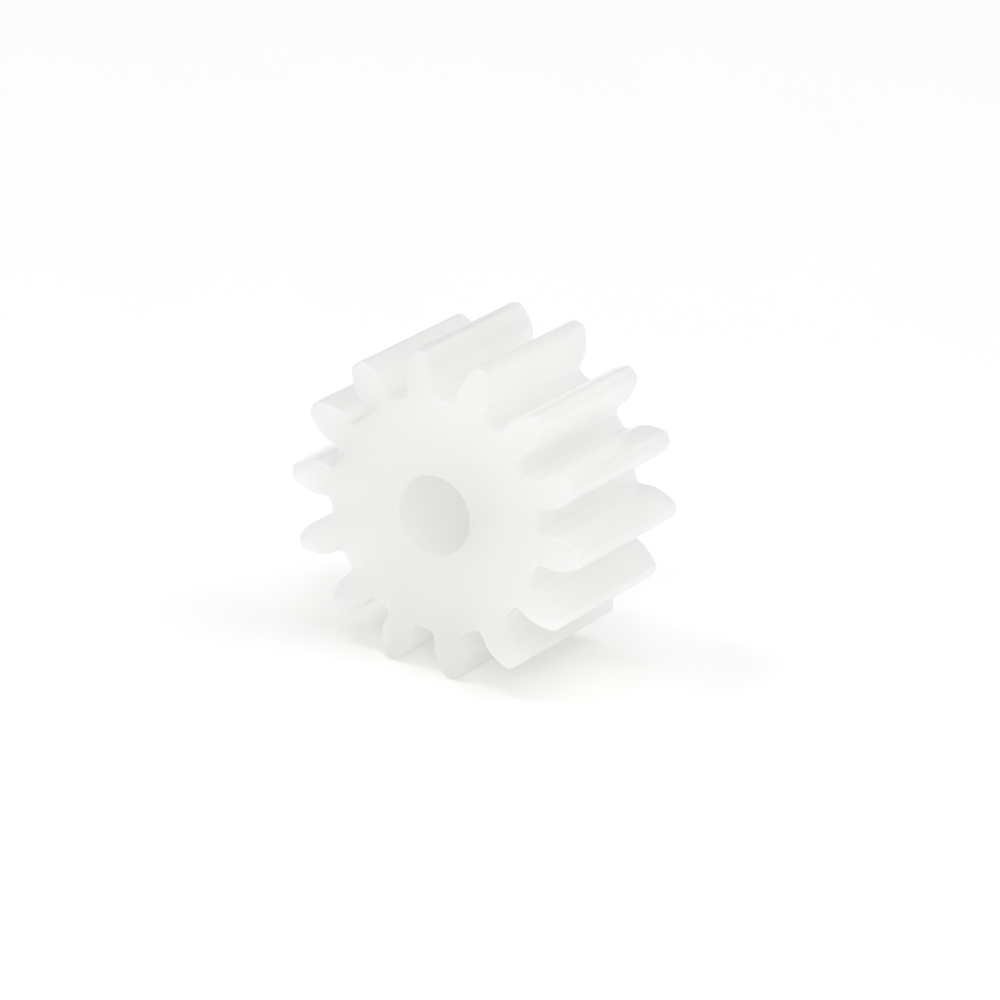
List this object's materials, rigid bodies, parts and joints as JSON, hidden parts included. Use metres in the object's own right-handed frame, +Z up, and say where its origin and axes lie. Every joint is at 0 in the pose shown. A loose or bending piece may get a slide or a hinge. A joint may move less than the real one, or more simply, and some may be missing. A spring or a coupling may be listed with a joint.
{
  "type": "spur gear",
  "caption": "Small moulded plastic spur gear with rounded involute teeth and a plain through bore that presses onto a motor shaft.",
  "frame": {"origin": "the gear's centre: on the bore's axis, half way between the two end faces", "axes": "+Y along the bore, from the front face towards the back face, and the gear turns about it; +X through the tip of one tooth; +Z up, through a tooth gap"},
  "size_m": [0.008, 0.0044, 0.0078],
  "materials": {
    "natural_acetal": "satin"
  },
  "bodies": {
    "root": {"spur_gear": "natural_acetal"}
  },
  "joints": []
}
